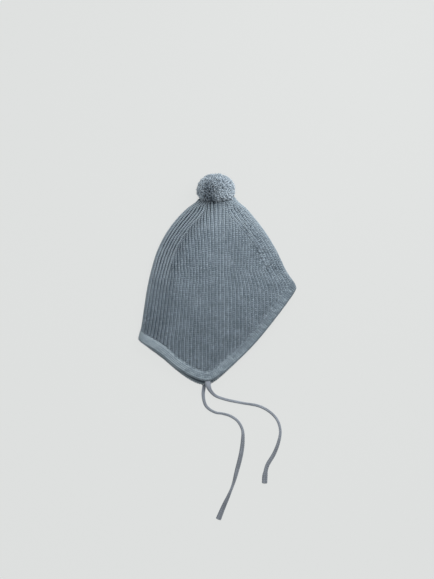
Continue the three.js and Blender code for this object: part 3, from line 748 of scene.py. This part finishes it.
def band_painted_shading(x):
    """Painted light and shade: the strip is paler to the left and darker to the right."""
    return 0.35 * x / 90


def band_fabric():
    quarter, rib, across = shell_columns()
    crown_side = evened(edge_y(quarter, rib, across, BAND_WIDTH))
    free_edge = evened(edge_y(quarter, rib, across, 0.0))
    rows, tones = [], []
    for share, out, upper_tone, lower_tone in BAND_SECTION:
        y = crown_side + (free_edge - crown_side) * share
        rows.append(offset_surface(rib_turn(quarter, rib, across, y), y, out))
        tone = np.where(quarter < 2, upper_tone, lower_tone)
        tones.append(tone - band_painted_shading(rows[-1][:, 0]))
    points = settle(np.stack(rows))
    quads = grid_faces(len(rows), len(quarter), closed=True)[:, FLIPPED]
    return make_mesh("brim_fabric", points, quads, (), np.concatenate(tones))


def band_row_line(inside):
    quarter, rib, across = shell_columns()
    y = evened(edge_y(quarter, rib, across, inside))
    turn = rib_turn(quarter, rib, across, y)
    return surface(turn, y), normals(turn, y)


def looped(line):
    """The line with its first place again at its end."""
    return np.concatenate([line, line[:1]])


def along_line(points, normal, count):
    """A closed line and its normals, at that many even steps."""
    lengths = lengths_along(looped(points))
    places = np.linspace(0, lengths[-1], count, endpoint=False)
    return [resampled(looped(values), lengths, places) for values in (points, normal)]


def band_knit():
    """Rows of stitches along the strip, and one that rolls over the free edge."""
    middle_inside = BAND_WIDTH / 2
    points, normal = band_row_line(middle_inside)
    columns = int(round(lengths_along(looped(points))[-1] / BAND_COLUMN))
    middle, middle_normal = along_line(points, normal, columns)
    forward = unit(np.roll(middle, -1, axis=0) - np.roll(middle, 1, axis=0))
    inward = unit(np.cross(middle_normal, forward))
    hand = np.sign((inward * (points.mean(0) - middle)).sum(-1).mean())
    inward = inward * hand
    width = np.full(columns, BAND_COLUMN * 0.98)
    thickness = np.full(columns, BAND_YARN)

    def row_places(inside):
        dense, dense_normal = along_line(*band_row_line(inside), BAND_SAMPLES)
        target = middle + inward * (inside - middle_inside)
        nearest = np.array([np.argmin(((dense - point) ** 2).sum(-1)) for point in target])
        out = unit(dense_normal[nearest])
        run = unit(dense[(nearest + 12) % BAND_SAMPLES] - dense[nearest - 12])
        return dense[nearest], out, np.cross(out, run) * hand

    def stitch_row(base, along, up, row, tone):
        tones = tone + 0.3 * unevenness(1.3 * base) - band_painted_shading(base[:, 0])
        return stitches(base, -np.cross(up, along), along, up, width, row, thickness, tones)

    parts = []
    inside_places = np.arange(0.9, BAND_WIDTH - 0.6, BAND_ROW)
    for inside in inside_places:
        base, out, to_crown = row_places(inside)
        sunk = 0.25 if inside == inside_places[-1] else -0.05
        parts += stitch_row(base - out * sunk, to_crown, out, np.full(columns, BAND_ROW), 0.0)
    edge, out, to_crown = row_places(0.0)
    below = smoothstep(-out[:, 2], 0, 0.5)
    foot = edge - out * (EDGE_ROW_DEPTH + 0.7 * below)[:, None] + to_crown * EDGE_ROW_SHIFT
    # Where the edge row faces down, it is painted paler: painted light on the lower layer's rim,
    # which lies in shade.
    parts += stitch_row(foot, out, -to_crown, BAND_ROW - 0.4 * below, 0.4 * below)
    return make_strands("brim_knit", parts)


# ---------------- pompom
POMPOM_MIDDLE = np.array([POMPOM["x"], POMPOM["y"], POMPOM["z"]])
PLY_PLACES = 6
PLY_SHARES = np.array([0, 0.25, 0.5, 0.75, 0.95, 1])[None, :, None]  # blunt at the cut end
LOCKS = 64
LOCK_RELIEF = 0.03
LOCK_PULL = 0.15  # how far the yarn of a lock leans towards its middle
CORE_REACH, CORE_LUMPS = 0.86, 0.08
YARN_START = 0.62  # share of the reach where the yarns begin
YARN_STRAY, YARN_DRIFT = 0.035, 0.13
YARN_TONE, YARN_TONE_SPREAD = 0.55, 0.17
YARN_HALF_WIDTHS = np.array([0.30, 0.38, 0.42, 0.38])
PLY_CLOSE, PLY_OPEN = 0.28, 0.5  # mm between plies at the start, and more at the cut end
FUZZ_START = 0.86
FUZZ_LEAN = 0.16
FUZZ_CRIMP = 0.3  # mm
FUZZ_HALF_WIDTH = 0.045
OVERHANG = 0.06  # how much longer the yarn is where it covers the hat's end
# Painted shade along each yarn, dark deep inside the pompom, and painted light at its tip.
STRAND_PAINTED_SHADE = np.array([-0.8, -0.55, -0.15, 0.25])  # dark inside the pompom, pale at the tip


def pompom_reach(direction):
    far = direction[..., 1] > 0
    deep = np.where(far, POMPOM["far"], POMPOM["near"])
    power = np.where(far, POMPOM["far_fullness"], POMPOM["near_fullness"])
    out = np.hypot(direction[..., 0] / POMPOM["wide"], direction[..., 2] / POMPOM["tall"])
    return (out ** power + np.abs(direction[..., 1] / deep) ** power) ** (-1 / power)


def even_directions(count):
    i = np.arange(count)
    height = 1 - (2 * i + 1) / count
    angle = i * math.pi * (3 - math.sqrt(5))
    radius = np.sqrt(1 - height ** 2)
    return np.stack([radius * np.cos(angle), height, radius * np.sin(angle)], axis=-1)


def pompom_core():
    """The inside of the pompom, seen between the ends of its yarn, coloured dark as painted shade."""
    ball = bmesh.new()
    bmesh.ops.create_icosphere(ball, subdivisions=5, radius=1)
    directions = unit(np.array([vertex.co for vertex in ball.verts]))
    faces = np.array([[vertex.index for vertex in face.verts] for face in ball.faces])
    ball.free()
    lumps = 0.5 + 0.5 * np.sin(directions @ rng.normal(0, 9, (3, 6)) + rng.uniform(0, 6, 6)).mean(-1)
    reach = pompom_reach(directions) * (CORE_REACH - CORE_LUMPS * lumps)
    points = POMPOM_MIDDLE + directions * reach[:, None]
    tones = np.full(len(points), 0.35)
    return make_mesh("pompom_core", settle(points), (), faces, tones)


def lock_places(directions):
    """For each direction its lock's middle, and 0 there rising to 1 at the cleft between locks."""
    locks = even_directions(LOCKS)
    closeness = directions @ locks.T
    nearest = locks[closeness.argmax(-1)]
    away = np.arccos(np.clip(closeness.max(-1), -1, 1)) / math.sqrt(4 / LOCKS)
    return nearest, np.minimum(1, away) ** 2


def pompom_yarn(name, count, plies, shortest, longest):
    """Yarns from inside the pompom out to between two shares of its reach, each in plies."""
    directions = unit(even_directions(count) + rng.normal(0, YARN_STRAY, (count, 3)))
    lock, cleft = lock_places(directions)
    reach = pompom_reach(directions)[:, None, None]
    drift = rng.normal(0, YARN_DRIFT, (count, 3)) + LOCK_PULL * (lock - directions)
    drift = square_to(drift, directions)
    ends = rng.uniform(shortest, longest, count) - LOCK_RELIEF * cleft
    ends = ends + OVERHANG * smoothstep(-directions[:, 1], 0.25, 0.6)
    # Each yarn's own tone, with painted shade in the clefts between locks and the painted light and
    # shade of shade().
    own = rng.normal(YARN_TONE, YARN_TONE_SPREAD, count) - 0.15 * cleft + shade(directions)
    parts = []
    for ply in range(plies):
        angle = 2 * math.pi * ply / plies + rng.uniform(0, 6.28, count)
        side = unit(np.cross(directions, rng.normal(0, 1, (count, 3))))
        other = np.cross(directions, side)
        splay = side * np.cos(angle)[:, None] + other * np.sin(angle)[:, None]
        along = YARN_START + (ends[:, None, None] - YARN_START) * PLY_SHARES
        bent = directions[:, None] * along * reach
        bent = bent + drift[:, None] * reach * PLY_SHARES ** 1.6 * 0.55
        bent = bent + splay[:, None] * (PLY_CLOSE + PLY_OPEN * PLY_SHARES ** 2)
        width = YARN_HALF_WIDTHS[None, :] * rng.normal(1, 0.12, (count, 1))
        outward = np.repeat(splay[:, None], PLY_PLACES - 2, axis=1)
        points, quads, triangles = rods(POMPOM_MIDDLE + bent, outward, width, width, 3)
        tones = rod_tones(own + rng.normal(0, 0.05, count), STRAND_PAINTED_SHADE, 3)
        parts.append((points, quads, triangles, tones))
    return make_strands(name, parts)


def shade(directions):
    """Painted shade and light on the pompom: darker left of the middle and a little at the far side,
    paler low right and at the far left.
    """
    # The dark patch left of the middle is painted shade.
    dense = smoothstep(directions @ unit(np.array([-0.55, -0.25, 0.75])), 0.6, 0.95)
    lit_side = smoothstep(directions @ unit(np.array([0.5, -0.65, 0.55])), 0.55, 0.95)
    left_rim = smoothstep(-directions[:, 0], 0.6, 0.92)
    far_side = smoothstep(directions[:, 1], 0.2, 0.8)
    return 0.2 * lit_side + 1.15 * left_rim - 0.5 * dense - 0.2 * far_side


def pompom_fuzz(count):
    """Single crimped fibres between the yarn ends and just past them, for a softer outline."""
    directions = unit(rng.normal(0, 1, (count, 3)))
    reach = pompom_reach(directions)[:, None, None]
    lean = square_to(rng.normal(0, FUZZ_LEAN, (count, 3)), directions)[:, None]
    share = np.linspace(0, 1, PLY_PLACES)[None, :, None]
    ends = rng.uniform(0.97, 1.03, (count, 1, 1))
    line = directions[:, None] * (FUZZ_START + (ends - FUZZ_START) * share) * reach
    line = line + lean * reach * share ** 2
    line = line + rng.normal(0, FUZZ_CRIMP, line.shape) * share
    width = np.full((count, PLY_PLACES - 2), FUZZ_HALF_WIDTH)
    outward = np.repeat(unit(rng.normal(0, 1, (count, 1, 3))), PLY_PLACES - 2, axis=1)
    points, quads, triangles = rods(POMPOM_MIDDLE + line, outward, width, width, 3)
    tones = rod_tones(rng.normal(0.9, 0.1, count), np.zeros(PLY_PLACES - 2), 3)
    return make_mesh("pompom_fuzz", settle(points), quads, triangles, tones.ravel())


# ---------------- ties
# Routes in metres, from the flap's tip to the free end.
UPPER_ROUTE = [
    (-0.0123, -0.1223, 0.0108), (-0.0112, -0.1285, 0.009), (-0.0088, -0.134, 0.006),
    (-0.0031, -0.1402, 0.0033), (0.0071, -0.1444, 0.0021), (0.0292, -0.1493, 0.002),
    (0.0498, -0.1531, 0.002), (0.0628, -0.1601, 0.002), (0.0719, -0.1702, 0.002),
    (0.0754, -0.1831, 0.002), (0.0735, -0.1959, 0.002), (0.068, -0.2104, 0.002),
    (0.0597, -0.2248, 0.002), (0.0572, -0.2352, 0.002), (0.0564, -0.2467, 0.002),
]
LOWER_ROUTE = [
    (-0.0161, -0.1275, 0.002), (-0.0174, -0.1402, 0.002), (-0.0138, -0.1532, 0.002),
    (-0.0033, -0.1606, 0.002), (0.0058, -0.1622, 0.002), (0.0149, -0.1649, 0.002),
    (0.0241, -0.1712, 0.002), (0.0298, -0.1818, 0.002), (0.0302, -0.1948, 0.002),
    (0.0282, -0.2104, 0.002), (0.0234, -0.2299, 0.002), (0.0187, -0.2468, 0.002),
    (0.0136, -0.2599, 0.002), (0.0071, -0.2742, 0.002), (0.0005, -0.2901, 0.002),
]
TIE_STEP = 0.3  # mm between rings
TIE_SIDES = 30
TIE_COLUMNS = 5
TIE_ROW = 2.3
TIE_RELIEF = 0.42
TIE_HALF_THICK = 1.3
TURN_ANGLE, TURN_REACH = 0.5, 12  # radians, and mm along the cord
ON_TABLE_Z = (3.2, 2.05)  # mm: under the second one a cord lies on the table
TABLE_GAP = 0.15  # mm
TIP_ROUNDING, ROOT_ROUNDING = 0.8, 1.2  # mm
# Painted light along a cord near its root, which lies in the hat's shade, and a painted shadow right
# at the root, where the cord comes out from under the strip.
PAINTED_LIGHT_ROOT, ROOT_REACH = 0.7, 11
PAINTED_SHADOW_ROOT, DARK_REACH = 1.2, 0.7
PALE_ROLLED = 0.22
# Distance from the root and half the width there: the flat cord is rolled up in places.
UPPER_WIDTHS = np.array([
    (0, 3.6), (7, 3.2), (14, 2.4), (24, 1.9), (40, 1.8), (80, 1.8), (110, 1.75), (125, 1.9),
    (137, 2.25), (152, 2.55), (168, 2.65), (172, 2.75), (175.5, 3.3), (187, 3.45),
], float)
LOWER_WIDTHS = np.array([
    (0, 2.4), (10, 2.2), (22, 2.0), (34, 1.8), (70, 1.8), (84, 1.95), (97, 2.6), (118, 2.85),
    (136, 2.6), (146, 2.1), (153, 1.85), (160, 2.0), (170, 2.6), (184, 3.15), (196, 3.5),
], float)


def between(first, last, start, stop, t):
    return (stop - t) / (stop - start) * first + (t - start) / (stop - start) * last


def centripetal(points, step):
    """A centripetal Catmull-Rom line through the points, resampled at even steps."""
    points = np.asarray(points, float)
    points = np.concatenate([[2 * points[0] - points[1]], points, [2 * points[-1] - points[-2]]])
    line = []
    for p0, p1, p2, p3 in zip(points, points[1:], points[2:], points[3:]):
        spans = (np.linalg.norm(b - a) for a, b in ((p0, p1), (p1, p2), (p2, p3)))
        t0, t1, t2, t3 = np.cumsum([0, *(math.sqrt(span) for span in spans)])
        t = np.linspace(t1, t2, 40, endpoint=False)[:, None]
        a1 = between(p0, p1, t0, t1, t)
        a2 = between(p1, p2, t1, t2, t)
        a3 = between(p2, p3, t2, t3, t)
        line.append(between(between(a1, a2, t0, t2, t), between(a2, a3, t1, t3, t), t1, t2, t))
    line = np.concatenate([*line, points[-2:-1]])
    lengths = lengths_along(line)
    places = np.linspace(0, lengths[-1], int(lengths[-1] / step) + 1)
    return places, resampled(line, lengths, places)


def make_tie(name, node, route, widths, turned):
    """A flat knitted cord. widths holds half its width, turned the places where it leans over."""
    places, line = centripetal(np.array(route) / MM, TIE_STEP)
    to_end = places[-1] - places
    half_width = smooth_table(widths, places)[..., 0]
    half_thick = np.full(len(places), TIE_HALF_THICK)
    twist = sum(TURN_ANGLE * np.exp(-(((places - p) / TURN_REACH) ** 2)) for p in turned)
    along = unit(np.gradient(line, axis=0))
    level = unit(np.cross(np.array([0, 0, 1.0]), along))
    upward = np.cross(along, level)
    across = level * np.cos(twist)[:, None] + upward * np.sin(twist)[:, None]
    outward = np.cross(along, across)
    rounded = np.sqrt(np.clip(to_end / TIP_ROUNDING, 0.02, 1))
    rounded = rounded * np.sqrt(np.clip((places + 0.5) / ROOT_ROUNDING, 0.3, 1))
    reach_down = np.hypot(half_width * np.sin(twist), half_thick * np.cos(twist)) * rounded
    on_table = smoothstep(line[:, 2], *ON_TABLE_Z)
    line[:, 2] += on_table * (reach_down + TABLE_GAP - line[:, 2])
    angles = np.arange(TIE_SIDES) / TIE_SIDES * 2 * math.pi
    turn = (angles / (2 * math.pi) * TIE_COLUMNS) % 1
    slope = np.abs(2 * turn - 1)
    phase = places[:, None] / TIE_ROW - 0.8 * slope[None, :]
    chevron = 0.5 + 0.5 * np.cos(2 * math.pi * phase)
    column = 1 - slope[None, :] ** 4
    relief_depth = TIE_RELIEF * (chevron * 0.55 + 0.45) * column - TIE_RELIEF
    wide = ((half_width[:, None] + relief_depth) * np.cos(angles))[..., None]
    thick = ((half_thick[:, None] + relief_depth) * np.sin(angles))[..., None]
    section = across[:, None] * wide + outward[:, None] * thick
    rings = line[:, None] + rounded[:, None, None] * section
    rings[..., 2] = np.maximum(rings[..., 2], 0.05)
    quads, ends = tube_faces(len(places), TIE_SIDES)
    points = np.concatenate([rings.reshape(-1, 3), line[:1], line[-1:]])
    # Painted light near the root and a painted shadow right at it.
    by_root = PAINTED_LIGHT_ROOT * np.exp(-((places / ROOT_REACH) ** 2))
    by_root = by_root - PAINTED_SHADOW_ROOT * np.exp(-places / DARK_REACH)
    rolled_up = PALE_ROLLED * smoothstep(-half_width, -2.2, -1.8)
    # The tone follows the knit's relief: paler on the raised stitches and darker in the grooves
    # between them, as painted shade.
    tones = 0.37 + 0.45 * chevron * column + (by_root + rolled_up)[:, None]
    tones = np.concatenate([tones.ravel(), [0.5, 0.5]])
    piece = make_mesh(name, points, quads, ends, tones)
    link(piece, node, slot="tie_cord")
    return piece


tie_upper = make_tie("tie_upper_knit", "tie_upper", UPPER_ROUTE, UPPER_WIDTHS, (60, 118))
tie_lower = make_tie("tie_lower_knit", "tie_lower", LOWER_ROUTE, LOWER_WIDTHS, (45, 150))


# ---------------- materials
def srgb(red, green, blue):
    """A colour as it looks, from 0 to 255, in the linear values that shaders take."""
    values = np.array([red, green, blue]) / 255
    linear = np.where(values <= 0.04045, values / 12.92, ((values + 0.055) / 1.055) ** 2.4)
    return (*[float(v) for v in linear], 1.0)


def set_inputs(shader, **values):
    for name, value in values.items():
        shader.inputs[name.replace("_", " ")].default_value = value


def noise(nodes, links, place, scale, detail):
    texture = nodes.new("ShaderNodeTexNoise")
    set_inputs(texture, Scale=scale, Detail=detail)
    links.new(place.outputs["Object"], texture.inputs["Vector"])
    return texture.outputs["Fac"]


def mixed(nodes, links, share, first, second):
    mix = nodes.new("ShaderNodeMix")
    mix.data_type = "FLOAT"
    mix.inputs["Factor"].default_value = share
    links.new(first, mix.inputs[2])
    links.new(second, mix.inputs[3])
    return mix.outputs[0]


def wool(name, dark, mid, pale, sheen=0.35, heather=900.0, tone_share=0.55, bump=0.35):
    """Heathered wool: a fleck of paler and darker fibres, a tone for each point, which holds each
    strand's own tone and the painted light and shade, and fuzz.
    """
    material = bpy.data.materials.new(name)
    material.use_nodes = True
    nodes, links = material.node_tree.nodes, material.node_tree.links
    shader = nodes["Principled BSDF"]
    set_inputs(shader, Roughness=0.92, Specular_IOR_Level=0.2, Sheen_Weight=sheen,
               Sheen_Roughness=0.45, Sheen_Tint=(0.86, 0.9, 0.94, 1))
    place = nodes.new("ShaderNodeTexCoord")
    flecks = noise(nodes, links, place, heather, 3)
    broad = noise(nodes, links, place, 60, 2)
    tone = nodes.new("ShaderNodeAttribute")
    tone.attribute_name = "tone"
    blend = mixed(nodes, links, tone_share, flecks, tone.outputs["Fac"])
    blend = mixed(nodes, links, 0.25, blend, broad)
    ramp = nodes.new("ShaderNodeValToRGB")
    stops = ramp.color_ramp.elements
    stops[0].position, stops[0].color = 0.3, dark
    stops[1].position, stops[1].color = 0.7, pale
    stops.new(0.5).color = mid
    links.new(blend, ramp.inputs["Fac"])
    links.new(ramp.outputs["Color"], shader.inputs["Base Color"])
    fibres = noise(nodes, links, place, 2600, 2)
    relief_node = nodes.new("ShaderNodeBump")
    set_inputs(relief_node, Strength=bump, Distance=0.0003)
    links.new(fibres, relief_node.inputs["Height"])
    links.new(relief_node.outputs["Normal"], shader.inputs["Normal"])
    return material


rib_wool = wool("rib_wool", srgb(77, 89, 98), srgb(109, 122, 132), srgb(141, 154, 163))
# A darker copy of the rib wool, as painted shade on the fabric in the furrows.
shaded_fabric_wool = wool("shaded_fabric_wool", srgb(44, 53, 61), srgb(90, 102, 112), srgb(124, 137, 147),
                   sheen=0.15, tone_share=0.8)
band_wool = wool("band_wool", srgb(90, 102, 111), srgb(123, 136, 145), srgb(154, 167, 175))
pompom_wool = wool("pompom_wool", srgb(76, 88, 99), srgb(139, 152, 163), srgb(173, 185, 194),
                   tone_share=0.7)
# A dark copy of the pompom's wool, as painted shade deep inside the pompom.
pompom_painted_shade = wool("pompom_painted_shade", srgb(52, 62, 70), srgb(70, 80, 90), srgb(90, 102, 112), sheen=0.1)
tie_wool = wool("tie_wool", srgb(90, 95, 102), srgb(117, 122, 129), srgb(150, 157, 167))

for tie in (tie_upper, tie_lower):
    tie.data.materials.append(tie_wool)

for quarter, name in enumerate(("upper_left", "upper_right", "lower_right", "lower_left")):
    dress(crown_knit(f"crown_knit_{name}", quarter), rib_wool, "crown", "rib_knit")
dress(crown_shell(), shaded_fabric_wool, "crown", "rib_knit")
dress(band_fabric(), band_wool, "brim_band", "band_knit")
dress(band_knit(), band_wool, "brim_band", "band_knit")
dress(pompom_core(), pompom_painted_shade, "pompom", "pompom_wool")
long_yarn = pompom_yarn("pompom_yarn", 2600, 3, 0.92, 1.02)
short_yarn = pompom_yarn("pompom_fill", 2000, 2, 0.84, 0.95)
for yarn in (long_yarn, short_yarn, pompom_fuzz(2400)):
    dress(yarn, pompom_wool, "pompom", "pompom_wool")

# ---------------- table and light
bpy.ops.mesh.primitive_plane_add(size=8, location=(0, 0, 0))
table = bpy.context.object
table.name = "table"
paper = bpy.data.materials.new("pale_table")
paper.use_nodes = True
set_inputs(paper.node_tree.nodes["Principled BSDF"], Base_Color=(0.02, 0.02, 0.02, 1),
           Emission_Color=(0.98, 1.0, 0.99, 1), Emission_Strength=0.725, Roughness=0.9,
           Specular_IOR_Level=0.1)
table.data.materials.append(paper)

world = bpy.data.worlds.new("studio")
bpy.context.scene.world = world
world.use_nodes = True
set_inputs(world.node_tree.nodes["Background"], Color=(0.98, 0.99, 1.0, 1), Strength=0.46)

# one soft lamp to the upper right, near enough for its light to fade across the hat
KEY_PLACE = Vector((0.23, 0.36, 0.44))
key = bpy.data.lights.new("key", "AREA")
key.shape = "DISK"
key.size = 0.5
key.energy = 5.4
key_lamp = bpy.data.objects.new("key", key)
bpy.context.scene.collection.objects.link(key_lamp)
key_lamp.location = KEY_PLACE
key_lamp.rotation_euler = (-KEY_PLACE).to_track_quat("-Z", "Y").to_euler()

bpy.context.scene.view_settings.view_transform = "Standard"
